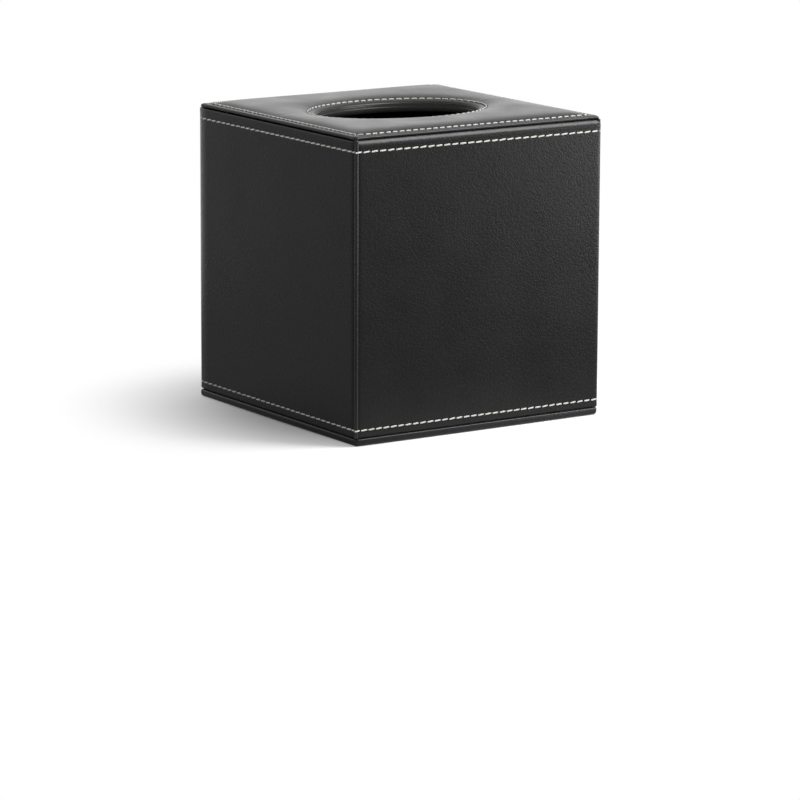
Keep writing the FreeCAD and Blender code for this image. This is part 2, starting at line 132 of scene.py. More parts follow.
def turn_into_place(piece, turn):
    """Turn a piece that was made as the front one about the middle of the box."""
    only(piece)
    piece.rotation_euler.z = turn
    bpy.ops.object.transform_apply(location=True, rotation=True, scale=True)


def corners_of(node):
    """Lowest and highest corners of a CAD node."""
    low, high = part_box(node)
    return low.copy(), high.copy()


def fit(piece, body, material, node):
    """Give a finished piece its material and its body, and hide the node it stands for."""
    piece.data.materials.clear()
    piece.data.materials.append(material)
    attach(piece, body)
    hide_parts(node)


# ------------------------------------------------------------------------ finishes


def linear(hex_colour):
    """An sRGB hex colour as the linear values that a shader takes."""
    parts = [int(hex_colour[place:place + 2], 16) / 255 for place in (1, 3, 5)]
    return [p / 12.92 if p <= 0.04045 else ((p + 0.055) / 1.055) ** 2.4 for p in parts] + [1]


def add(material, kind, links=None, **settings):
    """Add a node to a material; links gives its sockets a value or another's output."""
    node = material.node_tree.nodes.new(kind)
    for setting, value in settings.items():
        setattr(node, setting, value)
    for socket, value in (links or {}).items():
        if isinstance(value, bpy.types.NodeSocket):
            material.node_tree.links.new(value, node.inputs[socket])
        else:
            node.inputs[socket].default_value = value
    return node


def new_finish(name):
    """An empty material, its surface shader and the position on the object."""
    material = bpy.data.materials.new(name)
    material.use_nodes = True
    material.node_tree.nodes.clear()
    surface = add(material, "ShaderNodeBsdfPrincipled")
    add(material, "ShaderNodeOutputMaterial", {"Surface": surface.outputs["BSDF"]})
    place = add(material, "ShaderNodeTexCoord").outputs["Object"]
    return material, surface, place


def join_up(material, output, socket):
    material.node_tree.links.new(output, socket)


def shades(material, value, *stops):
    """Colours laid out over a value, as (position, hex colour)."""
    ramp = add(material, "ShaderNodeValToRGB", {"Fac": value})
    for element, (position, colour) in zip(ramp.color_ramp.elements, stops):
        element.position = position
        element.color = linear(colour)
    return ramp.outputs["Color"]


def mottle(material, place, size, detail=2.0):
    """A cloudy pattern, its largest patches about this size."""
    links = {"Vector": place, "Scale": 1 / size, "Detail": detail}
    return add(material, "ShaderNodeTexNoise", links).outputs["Fac"]


def speckle(material, surface, pattern, stops, strength, depth, **inputs):
    """Let one pattern give a finish its colours and its relief; inputs set the shader."""
    colour = shades(material, pattern, *stops)
    bump = {"Height": pattern, "Strength": strength, "Distance": depth}
    relief = add(material, "ShaderNodeBump", bump)
    join_up(material, colour, surface.inputs["Base Color"])
    join_up(material, relief.outputs["Normal"], surface.inputs["Normal"])
    for socket, value in inputs.items():
        surface.inputs[socket.replace("_", " ")].default_value = value


# PU leatherette, embossed with a fine pebble grain: the film has a low satin sheen
# that lifts to a grey reflection at a shallow angle.
leatherette, surface, place = new_finish("leatherette_pu_embossed")
PEBBLE = 0.9 * MM
PORE = 0.22 * MM
CLOUD = 22 * MM
wander = add(leatherette, "ShaderNodeTexNoise", {"Vector": place, "Scale": 1 / (2 * PEBBLE)})
bent = add(
    leatherette,
    "ShaderNodeMix",
    {"Factor": 0.0006, "A": place, "B": wander.outputs["Color"]},
    data_type="VECTOR",
)
pebbles = add(
    leatherette,
    "ShaderNodeTexVoronoi",
    {"Vector": bent.outputs["Result"], "Scale": 1 / PEBBLE, "Smoothness": 0.6},
    feature="SMOOTH_F1",
)
grain = add(
    leatherette,
    "ShaderNodeMath",
    {0: mottle(leatherette, place, PORE), 1: 0.35, 2: pebbles.outputs["Distance"]},
    operation="MULTIPLY_ADD",
)
relief = add(
    leatherette,
    "ShaderNodeBump",
    {"Height": grain.outputs["Value"], "Strength": 0.5, "Distance": 0.09 * MM},
    invert=True,
)
clouds = mottle(leatherette, place, CLOUD, 4.0)
tone = add(
    leatherette,
    "ShaderNodeMath",
    {0: grain.outputs["Value"], 1: 0.4, 2: clouds},
    operation="MULTIPLY_ADD",
)
black = shades(leatherette, tone.outputs["Value"], (0.45, "#0c0c0c"), (1.0, "#060606"))
satin = add(
    leatherette,
    "ShaderNodeMapRange",
    {"Value": clouds, "From Min": 0.3, "From Max": 0.7, "To Min": 0.29, "To Max": 0.37},
)
join_up(leatherette, black, surface.inputs["Base Color"])
join_up(leatherette, satin.outputs["Result"], surface.inputs["Roughness"])
join_up(leatherette, relief.outputs["Normal"], surface.inputs["Normal"])
surface.inputs["Specular IOR Level"].default_value = 0.25

# Edge paint, brushed on and rubbed smooth: black like the leatherette but glossier, so
# that a rolled edge draws a fine line of light.
edge_paint, surface, place = new_finish("edge_paint_brushed")
speckle(
    edge_paint,
    surface,
    mottle(edge_paint, place, 0.8 * MM),
    ((0.35, "#0e0e0e"), (0.7, "#181818")),
    strength=0.4,
    depth=0.05 * MM,
    Roughness=0.42,
    Specular_IOR_Level=0.32,
)

# Polyester sewing thread, spun and bonded: off-white, matt, with a fibrous nap.
thread, surface, place = new_finish("sewing_thread_polyester")
speckle(
    thread,
    surface,
    mottle(thread, place, 0.18 * MM, 3.0),
    ((0.3, "#9f9d98"), (0.6, "#c8c6c0")),
    strength=0.6,
    depth=0.06 * MM,
    Roughness=0.75,
    Sheen_Weight=0.2,
)

# Fibreboard, pressed from wood fibre and sawn: warm brown, speckled, dead matt.
fibreboard, surface, place = new_finish("fibreboard_pressed")
speckle(
    fibreboard,
    surface,
    mottle(fibreboard, place, 0.7 * MM, 4.0),
    ((0.35, "#7a5c3e"), (0.6, "#a98760")),
    strength=0.5,
    depth=0.1 * MM,
    Roughness=0.85,
)

# Greyboard, rolled from waste paper: grey with lighter and darker flecks.
card, surface, place = new_finish("greyboard_rolled")
speckle(
    card,
    surface,
    mottle(card, place, 1.2 * MM, 5.0),
    ((0.35, "#6f6c66"), (0.65, "#97938b")),
    strength=0.3,
    depth=0.05 * MM,
    Roughness=0.8,
)

# Polyurethane foam, cut from a block: cream, full of open cells.
foam, surface, place = new_finish("foam_polyurethane")
cells = add(foam, "ShaderNodeTexVoronoi", {"Vector": place, "Scale": 1 / (0.6 * MM)})
speckle(
    foam,
    surface,
    cells.outputs["Distance"],
    ((0.1, "#b9ad8f"), (0.6, "#e0d8bf")),
    strength=0.8,
    depth=0.2 * MM,
    Roughness=0.9,
)

# Flock lining, short fibres blown on glue: dark grey with no gloss, a faint velvet rim.
flock, surface, place = new_finish("flock_lining_blown")
speckle(
    flock,
    surface,
    mottle(flock, place, 0.25 * MM, 3.0),
    ((0.35, "#363637"), (0.7, "#525254")),
    strength=0.7,
    depth=0.15 * MM,
    Roughness=1.0,
    Specular_IOR_Level=0.1,
    Sheen_Weight=0.05,
)

# Nickel plating on the magnets: bright, with fine tumbling scratches.
nickel, surface, place = new_finish("nickel_plated")
scuffs = mottle(nickel, place, 0.5 * MM, 6.0)
dulling = add(nickel, "ShaderNodeMapRange", {"Value": scuffs, "To Min": 0.2, "To Max": 0.4})
plate = shades(nickel, scuffs, (0.3, "#a8a49c"), (0.7, "#c3bfb6"))
join_up(nickel, plate, surface.inputs["Base Color"])
join_up(nickel, dulling.outputs["Result"], surface.inputs["Roughness"])
surface.inputs["Metallic"].default_value = 1.0


# --------------------------------------------------------------------------- walls

LEATHER = 0.7 * MM
# The hems turn over just below the foot of the walls' nodes and just above their rim.
WALL_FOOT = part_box("front_cover")[0].z - 0.3 * MM
WALL_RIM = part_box("front_cover")[1].z + 0.35 * MM
FOOT_SEAM = WALL_FOOT + 3.35 * MM
TOP_SEAM = WALL_RIM - 4.95 * MM
FOOT_RADIUS = 0.6 * MM
# The top hems of the front and back are plump and stand above the thin ones of the sides.
RIM_RADII = {"front": 3.0 * MM, "right": 0.7 * MM, "back": 3.0 * MM, "left": 0.7 * MM}
RIM_RISE = {"front": 0.35 * MM, "right": -0.35 * MM, "back": 0.35 * MM, "left": -0.35 * MM}
HEM_SEGMENTS = 8
# The width of a column of the leatherette, about a quarter of a stitch.
COLUMN = 1.04 * MM

# How far the leatherette lies back from the face of the hem: beside a seam, at the
# given distance from it, and further in over the felt of the wall.
SEAM_VALLEY = (
    (-1.6, 0.08),
    (-0.8, 0.12),
    (-0.35, 0.32),
    (0.0, 0.45),
    (0.35, 0.32),
    (0.8, 0.16),
    (1.6, 0.12),
)
FELT_HOLLOW = ((8, 0.16), (16, 0.28), (28, 0.44), (44, 0.56))
MIDDLE_SINK = 0.62 * MM

# The holes of each seam along its wall, in millimetres from the wall's middle: the
# first, the step from one to the next, and the two limits that the thread keeps within.
SEAM_HOLES = {
    ("front", "top"): (-65.55, 4.157, -65.1, 64.4),
    ("front", "foot"): (-66.1, 3.84, -65.1, 64.4),
    ("side", "top"): (-66.5, 4.16, -64.9, 64.9),
    ("side", "foot"): (-66.5, 4.16, -64.9, 64.9),
    ("back", "top"): (-60.5, 4.033, -60.6, 60.6),
    ("back", "foot"): (-60.5, 4.033, -60.6, 60.6),
}
# Between two stitches, and the shortest that shows at an end, in millimetres too.
HOLE_GAP = 0.45
SHORTEST_STITCH = 0.7
# Where the thread dives into a hole it pulls the leatherette down with it.
HOLE_PULL = 0.16 * MM

# A wall's ends beside the corner edging, as places from the end and depths there: flat
# ends on the back, butted ones on the front, and the sides tucked in at the front, where
# the edging stands proud, and rounded off at the back, where it lies behind them.
FLAT_END = ((0.0, 0.45 * MM), (0.15 * MM, 0.25 * MM), (0.45 * MM, 0.06 * MM))
BUTTED_END = ((0.0, 0.12 * MM), (0.3 * MM, 0.03 * MM))
TUCKED_END = (
    (0.0, 0.95 * MM),
    (0.4 * MM, 0.72 * MM),
    (0.9 * MM, 0.4 * MM),
    (1.6 * MM, 0.12 * MM),
)
ROUNDED_END = (
    (0.0, 1.0 * MM),
    (0.5 * MM, 0.74 * MM),
    (1.3 * MM, 0.52 * MM),
    (2.4 * MM, 0.34 * MM),
    (3.6 * MM, 0.2 * MM),
    (4.8 * MM, 0.1 * MM),
    (6.0 * MM, 0.03 * MM),
)
# Both ends of each wall, as made for the front: how far past its node, and the shape.
WALL_ENDS = {
    "front": ((0.5 * MM, BUTTED_END), (1.35 * MM, BUTTED_END)),
    "right": ((0.0, TUCKED_END), (1.1 * MM, ROUNDED_END)),
    "back": ((-0.7 * MM, FLAT_END), (-0.7 * MM, FLAT_END)),
    "left": ((1.1 * MM, ROUNDED_END), (0.0, TUCKED_END)),
}
# Each wall is made as the front one and turned round the middle of the box.
SIDES = {"front": 0.0, "right": math.pi / 2, "back": math.pi, "left": -math.pi / 2}


def stitches_of(side, seam):
    """First and last place along a wall of each visible stitch of a seam."""
    kind = side if side in ("front", "back") else "side"
    first, step, near, far = SEAM_HOLES[kind, seam]
    spans = []
    while first < far:
        start = max(first + HOLE_GAP / 2, near)
        end = min(first + step - HOLE_GAP / 2, far)
        if end - start > SHORTEST_STITCH:
            spans.append((start * MM, end * MM))
        first += step
    return spans


def wall_rows():
    """Height and sink of every row of the leatherette, from the foot to the rim."""
    rows = []
    for seam, inward in ((FOOT_SEAM, 1), (TOP_SEAM, -1)):
        for away, sink in SEAM_VALLEY + FELT_HOLLOW:
            rows.append((seam + inward * away * MM, sink * MM))
    rows.append(((FOOT_SEAM + TOP_SEAM) / 2, MIDDLE_SINK))
    return rows


def as_front(node, turn):
    """Lowest and highest corners of a wall's node, turned round to the front."""
    placed = [Matrix.Rotation(-turn, 3, "Z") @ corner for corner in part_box(node)]
    low = Vector(min(corner[axis] for corner in placed) for axis in range(3))
    high = Vector(max(corner[axis] for corner in placed) for axis in range(3))
    return low, high


def wall_ends(side, turn):
    """Place, inward direction and shape of both ends of a wall, as made for the front."""
    low, high = as_front(side + "_cover", turn)
    (first_reach, first_curl), (last_reach, last_curl) = WALL_ENDS[side]
    return (low.x - first_reach, 1, first_curl), (high.x + last_reach, -1, last_curl)


def depth_near_end(side, turn, place):
    """How far the ends of a wall fall back at a place along it."""
    for end, inwards, curl in wall_ends(side, turn):
        inset = (place - end) * inwards
        for (near, deep), (far, shallow) in zip(curl, curl[1:]):
            if near <= inset < far:
                return deep + (shallow - deep) * (inset - near) / (far - near)
    return 0


def make_wall_cover(side, turn):
    """A sheet of leatherette over felt, turned in at the rim and at the foot."""
    low, high = as_front(side + "_cover", turn)
    ends = wall_ends(side, turn)
    low.x, high.x = ends[0][0], ends[1][0]
    low.z, high.z = WALL_FOOT, WALL_RIM + RIM_RISE[side]
    face = low.y
    cover = start_piece(
        side + "_leatherette",
        bpy.ops.mesh.primitive_cube_add,
        scale=high - low,
        size=1,
        location=(low + high) / 2,
    )

    def is_hem(part):
        return all(abs(end.co.y - face) + abs(end.co.z - hem) < CLOSE for end in part.verts)

    with editing(cover):
        pick(cover, "FACE", lambda part: part.normal.y > 0.5 or abs(part.normal.x) > 0.5)
        bpy.ops.mesh.delete(type="FACE")
        for hem, radius in ((low.z, FOOT_RADIUS), (high.z, RIM_RADII[side])):
            pick(cover, "EDGE", is_hem)
            bpy.ops.mesh.bevel(offset=radius, segments=HEM_SEGMENTS, affect="EDGES")
        for height, sink in wall_rows():
            cut_across((0, 0, height), (0, 0, 1))
            pick(
                cover,
                "VERT",
                lambda part: abs(part.co.z - height) < CLOSE and part.co.y < face + 10 * CLOSE,
            )
            shift(0, sink, 0)
        for end, inwards, curl in ends:
            for inset, _ in curl[1:]:
                cut_across((end + inwards * inset, 0, 0), (1, 0, 0))
        pick(
            cover,
            "EDGE",
            lambda part: abs(part.verts[0].co.x - part.verts[1].co.x) > 10 * COLUMN,
        )
        bpy.ops.mesh.subdivide(number_cuts=int((high.x - low.x) / COLUMN))
        for seam, height in (("foot", FOOT_SEAM), ("top", TOP_SEAM)):
            holes = [place for span in stitches_of(side, seam) for place in span]
            pick(
                cover,
                "VERT",
                lambda part: abs(part.co.z - height) < CLOSE
                and min(abs(part.co.x - hole) for hole in holes) < 0.6 * COLUMN,
            )
            shift(0, HOLE_PULL, 0)
        for end, inwards, curl in ends:
            for inset, depth in curl:
                pick(
                    cover,
                    "VERT",
                    lambda part: abs(part.co.x - end - inwards * inset) < CLOSE
                    and part.co.y < face + RIM_RADII[side],
                )
                shift(0, depth, 0)
    finish_with(cover, "SOLIDIFY", thickness=LEATHER, offset=-1)
    smooth(cover, 60)
    turn_into_place(cover, turn)
    fit(cover, "box", leatherette, side + "_cover")


for side, turn in SIDES.items():
    make_wall_cover(side, turn)


# ------------------------------------------------------------------ corner edging

BEAD_TOP = WALL_RIM + 0.3 * MM
BEAD_FOOT = WALL_FOOT - 0.25 * MM
# The middle of each bead, in from the side and from the front or back of the box; the
# two front ones are the left bead and the right one.
FRONT_BEADS = {-1: (0.5 * MM, 0.78 * MM), 1: (0.5 * MM, 1.3 * MM)}
BACK_BEAD = (2.0 * MM, 0.9 * MM)
FRONT_BEAD_RADIUS = 0.85 * MM
BACK_BEAD_RADIUS = 0.6 * MM


def make_corner_edging():
    """Down each corner a painted bead, proud of the walls at the front corners and
    tucked in behind the ends of the sides at the back ones."""
    _, high = corners_of("corner_edging")
    beads = []

    def is_level(part):
        return abs(part.verts[0].co.z - part.verts[1].co.z) < CLOSE

    for across in (-1, 1):
        for along, inset, radius in (
            (-1, FRONT_BEADS[across], FRONT_BEAD_RADIUS),
            (1, BACK_BEAD, BACK_BEAD_RADIUS),
        ):
            bead = start_piece(
                "corner_bead",
                bpy.ops.mesh.primitive_cylinder_add,
                vertices=28,
                radius=radius,
                depth=BEAD_TOP - BEAD_FOOT,
                location=(
                    across * (high.x - inset[0]),
                    along * (high.y - inset[1]),
                    (BEAD_TOP + BEAD_FOOT) / 2,
                ),
            )
            with editing(bead):
                pick(bead, "EDGE", is_level)
                bpy.ops.mesh.bevel(offset=0.6 * radius, segments=4, affect="EDGES")
            beads.append(bead)
    only(*beads)
    bpy.ops.object.join()
    edging = bpy.context.object
    edging.name = edging.data.name = "corner_beading"
    smooth(edging, 50)
    fit(edging, "box", edge_paint, "corner_edging")


make_corner_edging()


# -------------------------------------------------------------------- padded top

# Half-sizes of the top, of the oval opening and of the seams round both.
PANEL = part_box("top_cover")[1]
EDGE_SEAM = (PANEL.x - 3.1 * MM, PANEL.y - 4.6 * MM)
OPENING = (39.5 * MM, 27.35 * MM)
OPENING_SEAM = (43.2 * MM, 31.05 * MM)
# The ring between the two seams, as a share of the outer one.
MIDDLE_RING = 0.87
SEAM_CORNER = 3.5 * MM
SEAM_HEIGHT = 135.1 * MM
CROWN = PANEL.z + 0.4 * MM
BACKING_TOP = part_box("top_backing")[1].z
# The mesh of the sheet before it is smoothed: cuts in each side and between the seams.
SIDE_CUTS = 30
RING_CUTS = 15

STUFFING_PRESSURE = 700
STUFFING_FRAMES = 20
# How soon the rising foam comes up against the crown.
FIRMNESS = 1.6
# The foam is pressed this far into the leatherette, so that no gap is left.
FOAM_PRESS = 0.02 * MM

# The edge of the padded top and the edge of its opening, from their seams outwards:
# how far out, and how high above the seam's level, in millimetres.
ROLLED_EDGE = (
    (0.35, -0.18),
    (0.8, -0.08),
    (1.4, -0.04),
    (2.0, -0.04),
    (2.55, -0.07),
    (2.95, -0.15),
    (3.2, -0.31),
    (3.34, -0.58),
    (3.4, -0.95),
    (3.32, -1.35),
    (2.95, -1.6),
    (2.0, -1.65),
)
OPENING_EDGE = (
    (0.5, -0.2),
    (1.2, -0.22),
    (2.0, -0.42),
    (2.7, -0.75),
    (3.2, -1.12),
    (3.5, -1.5),
    (3.65, -1.85),
    (3.6, -2.05),
    (3.3, -2.1),
    (2.2, -2.1),
)
# The top is a little narrower outside its seam at the sides than at the front and back.
SIDE_SHARE = 0.97
# The front and back rolls slope down a little from their seams: from how far out, and
# by how much more.
DROOP = ((0.8, 0.08), (1.6, 0.08), (2.4, 0.08))
# The front corners of the roll, where the leatherette is doubled, reach further out:
# from how far past the seam, and by how much more.
CORNER_PULL = ((0.0, 0.2), (1.2, 0.2))
# The corners of the roll are tightened, row by row, from the seam's rounding to this.
OUTER_CORNER = 2.0 * MM
TIGHTENING = 0.87
CORNER_REACH = 1.15
# The height of the roll dies away round a corner: from how far past its rounding, and
# how much of the height above the rim is left there.
CORNER_ROUND = 4.5 * MM
CORNER_FADE = (
    (-0.3 * MM, 0.95),
    (0.2 * MM, 0.9),
    (0.6 * MM, 0.82),
    (1.0 * MM, 0.74),
    (1.4 * MM, 0.66),
)

# How deep the seams lie in the padding, and how far round a hole the thread pulls the
# leatherette down and by how much.
VALLEY = 0.32 * MM
HOLE_REACH = 0.62 * MM
TOP_HOLE_PULL = 0.14 * MM
EDGE_STITCHES = 139
EDGE_PITCH = 3.48 * MM
OPENING_STITCHES = 66
OPENING_PITCH = 3.56 * MM


def is_border(edge):
    return len(edge.link_faces) == 1


def is_outer(corner):
    """Whether a corner lies outside the ring between the two seams."""
    across, along = (corner.co[axis] / (EDGE_SEAM[axis] * MIDDLE_RING) for axis in range(2))
    return max(abs(across), abs(along)) > 1


def past_corner_round(corner):
    """How far a corner lies outside the rounding of the padded top's own corners."""
    beyond = [abs(corner.co[axis]) - PANEL[axis] + CORNER_ROUND for axis in range(2)]
    return math.hypot(*beyond) - CORNER_ROUND if min(beyond) > 0 else 0


def round_off_corners(sheet):
    """Let the thick of the rolled edge die away round each corner of the top."""
    with editing(sheet):
        for past, height in CORNER_FADE:
            pick(
                sheet,
                "VERT",
                lambda part: past_corner_round(part) > past and part.co.z > WALL_RIM,
            )
            bpy.ops.transform.resize(value=(1, 1, height), center_override=(0, 0, WALL_RIM))


def droop(sheet):
    """Let the rolls at the front and back slope down away from their seams."""
    with editing(sheet):
        for out, drop in DROOP:
            pick(sheet, "VERT", lambda part: abs(part.co.y) > EDGE_SEAM[1] + out * MM)
            shift(0, 0, -drop * MM)


def draw_out_corners(sheet):
    """Let the front corners of the rolled edge reach out a little beyond its sides."""
    with editing(sheet):
        for out, pull in CORNER_PULL:
            for across in (-1, 1):
                pick(
                    sheet,
                    "VERT",
                    lambda part: across * part.co.x > EDGE_SEAM[0] + out * MM
                    and part.co.y < -EDGE_SEAM[1] - out * MM,
                )
                shift(across * pull * MM, -pull * MM, 0)


def make_pad_sheet():
    """A flat sheet between the two seams, as it is cut out before it is sewn down."""
    rim = start_piece(
        "pad_sheet",
        bpy.ops.mesh.primitive_plane_add,
        scale=(2 * EDGE_SEAM[0], 2 * EDGE_SEAM[1], 1),
        size=1,
        location=(0, 0, SEAM_HEIGHT),
    )
    with editing(rim):
        bpy.ops.mesh.select_all(action="SELECT")
        bpy.ops.mesh.delete(type="ONLY_FACE")
        bpy.ops.mesh.select_all(action="SELECT")
        bpy.ops.mesh.bevel(offset=SEAM_CORNER, segments=4, affect="VERTICES")
        pick(rim, "EDGE", lambda part: part.calc_length() > SEAM_CORNER)
        bpy.ops.mesh.subdivide(number_cuts=SIDE_CUTS)
    oval = start_piece(
        "oval_seam",
        bpy.ops.mesh.primitive_circle_add,
        scale=(*OPENING_SEAM, 1),
        vertices=len(rim.data.vertices),
        radius=1,
        location=(0, 0, SEAM_HEIGHT),
    )
    only(rim, oval)
    bpy.ops.object.join()
    with editing(rim):
        bpy.ops.mesh.select_all(action="SELECT")
        bpy.ops.mesh.bridge_edge_loops(number_cuts=RING_CUTS, interpolation="LINEAR")
        bpy.ops.mesh.normals_make_consistent(inside=False)
    return rim


def stuff(sheet):
    """Let the foam push the sheet up between its seams, as far as it is thick."""
    pinned = sheet.vertex_groups.new(name="seams")
    faces = Counter(edge for face in sheet.data.polygons for edge in face.edge_keys)
    border = {corner for edge, count in faces.items() if count == 1 for corner in edge}
    pinned.add(sorted(border), 1.0, "REPLACE")
    only(sheet)
    cloth = sheet.modifiers.new("Stuffing", "CLOTH")
    cloth.settings.quality = 6
    cloth.settings.mass = 0.3
    cloth.settings.tension_stiffness = 15
    cloth.settings.compression_stiffness = 15
    cloth.settings.shear_stiffness = 5
    cloth.settings.bending_stiffness = 5
    cloth.settings.vertex_group_mass = pinned.name
    cloth.settings.use_pressure = True
    cloth.settings.uniform_pressure_force = STUFFING_PRESSURE
    cloth.settings.shrink_min = -0.0015
    cloth.settings.effector_weights.gravity = 0
    cloth.point_cache.frame_start = 1
    cloth.point_cache.frame_end = STUFFING_FRAMES
    for moment in range(1, STUFFING_FRAMES + 1):
        bpy.context.scene.frame_set(moment)
    bpy.ops.object.modifier_apply(modifier=cloth.name)
    room = CROWN - SEAM_HEIGHT
    for corner in sheet.data.vertices:
        rise = max(0, corner.co.z - SEAM_HEIGHT)
        corner.co.z = SEAM_HEIGHT + room * math.tanh(FIRMNESS * rise / room)


def tighten_corners(sheet, half_sizes, radius):
    """Draw the four rounded corners of the outermost row out towards square."""
    for across in (-1, 1):
        for along in (-1, 1):
            pick(
                sheet,
                "VERT",
                lambda part: part.is_boundary
                and across * part.co.x > half_sizes[0] - CORNER_REACH * radius
                and along * part.co.y > half_sizes[1] - CORNER_REACH * radius,
            )
            bpy.ops.transform.resize(
                value=(TIGHTENING, TIGHTENING, 1),
                center_override=(across * half_sizes[0], along * half_sizes[1], 0),
            )


def roll_edge(sheet, half_sizes, rows, reach, inner):
    """Carry one border of the sheet on through rows beyond its seam. The reach scales
    how far out the rows go across the box and along it."""

    def on_border(part):
        return is_border(part) and inner != any(map(is_outer, part.verts))

    with editing(sheet):
        pick(sheet, "EDGE", on_border)
        shift(0, 0, -VALLEY)
        reached, height, radius = half_sizes, -VALLEY, SEAM_CORNER
        for out, level in rows:
            pick(sheet, "EDGE", on_border)
            bpy.ops.mesh.extrude_edges_move()
            goal = [half + share * out * MM for half, share in zip(half_sizes, reach)]
            growth = [wanted / now for wanted, now in zip(goal, reached)]
            bpy.ops.transform.resize(value=(*growth, 1), center_override=(0, 0, 0))
            shift(0, 0, level * MM - height)
            if not inner and radius > OUTER_CORNER:
                tighten_corners(sheet, goal, radius)
                radius *= TIGHTENING
            reached, height = goal, level * MM


def pull_holes(piece, holes):
    """Draw the leatherette down at each hole of a seam."""
    with editing(piece):
        pick(
            piece,
            "VERT",
            lambda part: part.co.z > SEAM_HEIGHT - 2 * VALLEY
            and any((part.co.xy - hole).length < HOLE_REACH for hole in holes),
        )
        shift(0, 0, -TOP_HOLE_PULL)


def edge_path():
    """The line of the seam round the edge, from the middle of the front and back to it."""
    start = Vector((0, -EDGE_SEAM[1]))
    path = [start]
    for turn, (across, along) in enumerate(((1, -1), (1, 1), (-1, 1), (-1, -1))):
        middle = Vector(
            (across * (EDGE_SEAM[0] - SEAM_CORNER), along * (EDGE_SEAM[1] - SEAM_CORNER))
        )
        for step in range(9):
            angle = math.radians(90 * (turn - 1) + 90 * step / 8)
            path.append(middle + SEAM_CORNER * Vector((math.cos(angle), math.sin(angle))))
    return path + [start]


def opening_path():
    """The line of the seam round the opening."""
    angles = [math.radians(degree / 2) for degree in range(721)]
    return [
        Vector((OPENING_SEAM[0] * math.cos(angle), OPENING_SEAM[1] * math.sin(angle)))
        for angle in angles
    ]


def places_along(path, count):
    """Middle and direction of stitches spread evenly along a path."""
    legs = [(second - first).length for first, second in zip(path, path[1:])]
    places, leg, passed = [], 0, 0.0
    for turn in range(count):
        goal = sum(legs) * turn / count
        while passed + legs[leg] < goal:
            passed += legs[leg]
            leg += 1
        direction = (path[leg + 1] - path[leg]).normalized()
        places.append((path[leg] + direction * (goal - passed), direction))
    return places


def holes_between(places, pitch):
    """The two ends of every stitch, where the thread goes down."""
    return [
        middle + end * direction * pitch / 2 for middle, direction in places for end in (-1, 1)
    ]


def make_padded_top():
    """The leatherette of the top, sewn down along both seams over its foam."""
    sheet = make_pad_sheet()
    stuff(sheet)
    only(sheet)
    bpy.ops.object.duplicate()
    filling = bpy.context.object
    finish_with(sheet, "SUBSURF", levels=1, render_levels=1)
    roll_edge(sheet, EDGE_SEAM, ROLLED_EDGE, (SIDE_SHARE, 1), False)
    roll_edge(sheet, OPENING_SEAM, OPENING_EDGE, (-1, -1), True)
    droop(sheet)
    draw_out_corners(sheet)
    round_off_corners(sheet)
    finish_with(sheet, "SUBSURF", levels=1, render_levels=1)
    pull_holes(sheet, holes_between(edge_places, EDGE_PITCH))
    pull_holes(sheet, holes_between(opening_places, OPENING_PITCH))
    finish_with(sheet, "SOLIDIFY", thickness=LEATHER, offset=-1)
    sheet.name = sheet.data.name = "padded_top"
    smooth(sheet, 70)
    fit(sheet, "box", leatherette, "top_cover")

    with editing(filling):
        bpy.ops.mesh.select_all(action="SELECT")
        shift(0, 0, FOAM_PRESS - LEATHER)
        bpy.ops.mesh.extrude_region_move()
        bpy.ops.transform.resize(value=(1, 1, 0), center_override=(0, 0, BACKING_TOP))
        bpy.ops.mesh.select_all(action="SELECT")
        bpy.ops.mesh.normals_make_consistent(inside=False)
    filling.name = filling.data.name = "foam_filling"
    smooth(filling, 50)
    fit(filling, "box", foam, "top_padding")


def make_top_card():
    """The card that the padded top is sewn down to."""
    low, high = corners_of("top_backing")
    sheet = make_pad_sheet()
    with editing(sheet):
        bpy.ops.mesh.select_all(action="SELECT")
        shift(0, 0, high.z - SEAM_HEIGHT)
    finish_with(sheet, "SOLIDIFY", thickness=high.z - low.z, offset=-1)
    sheet.name = sheet.data.name = "top_card"
    fit(sheet, "box", card, "top_backing")


edge_places = places_along(edge_path(), EDGE_STITCHES)
opening_places = places_along(opening_path(), OPENING_STITCHES)
make_padded_top()
make_top_card()


# ------------------------------------------------------------------- opening lip

# The lip from its top edge downwards, with a narrow ledge where the board begins: how
# far in and how far down, in millimetres.
LIP = (
    (0.02, 0.4),
    (0.1, 0.5),
    (0.15, 1.0),
    (0.25, 1.3),
    (0.7, 1.35),
    (0.95, 1.45),
    (1.05, 1.65),
    (1.0, 3.8),
)
LIP_LEATHER = 0.5 * MM


def make_opening_lip():
    """Leatherette turned down over the cut edge of the board, inside the opening."""
    top = corners_of("opening_lip")[1].z
    rim = start_piece(
        "opening_leatherette",
        bpy.ops.mesh.primitive_circle_add,
        scale=(*OPENING, 1),
        vertices=160,
        radius=1,
        location=(0, 0, top),
    )
    reached, height = OPENING, top
    with editing(rim):
        bpy.ops.mesh.select_all(action="SELECT")
        for inwards, drop in LIP:
            bpy.ops.mesh.extrude_edges_move()
            goal = [half - inwards * MM for half in OPENING]
            growth = [wanted / now for wanted, now in zip(goal, reached)]
            bpy.ops.transform.resize(value=(*growth, 1), center_override=(0, 0, 0))
            shift(0, 0, top - drop * MM - height)
            reached, height = goal, top - drop * MM
        bpy.ops.mesh.select_all(action="SELECT")
        bpy.ops.mesh.normals_make_consistent(inside=False)
    if sum(face.normal.z for face in rim.data.polygons) < 0:
        with editing(rim):
            bpy.ops.mesh.select_all(action="SELECT")
            bpy.ops.mesh.flip_normals()
    finish_with(rim, "SOLIDIFY", thickness=LIP_LEATHER, offset=-1)
    smooth(rim, 50)
    fit(rim, "box", leatherette, "opening_lip")


make_opening_lip()


# ------------------------------------------------------------------------ sewing

UP = Vector((0, 0, 1))

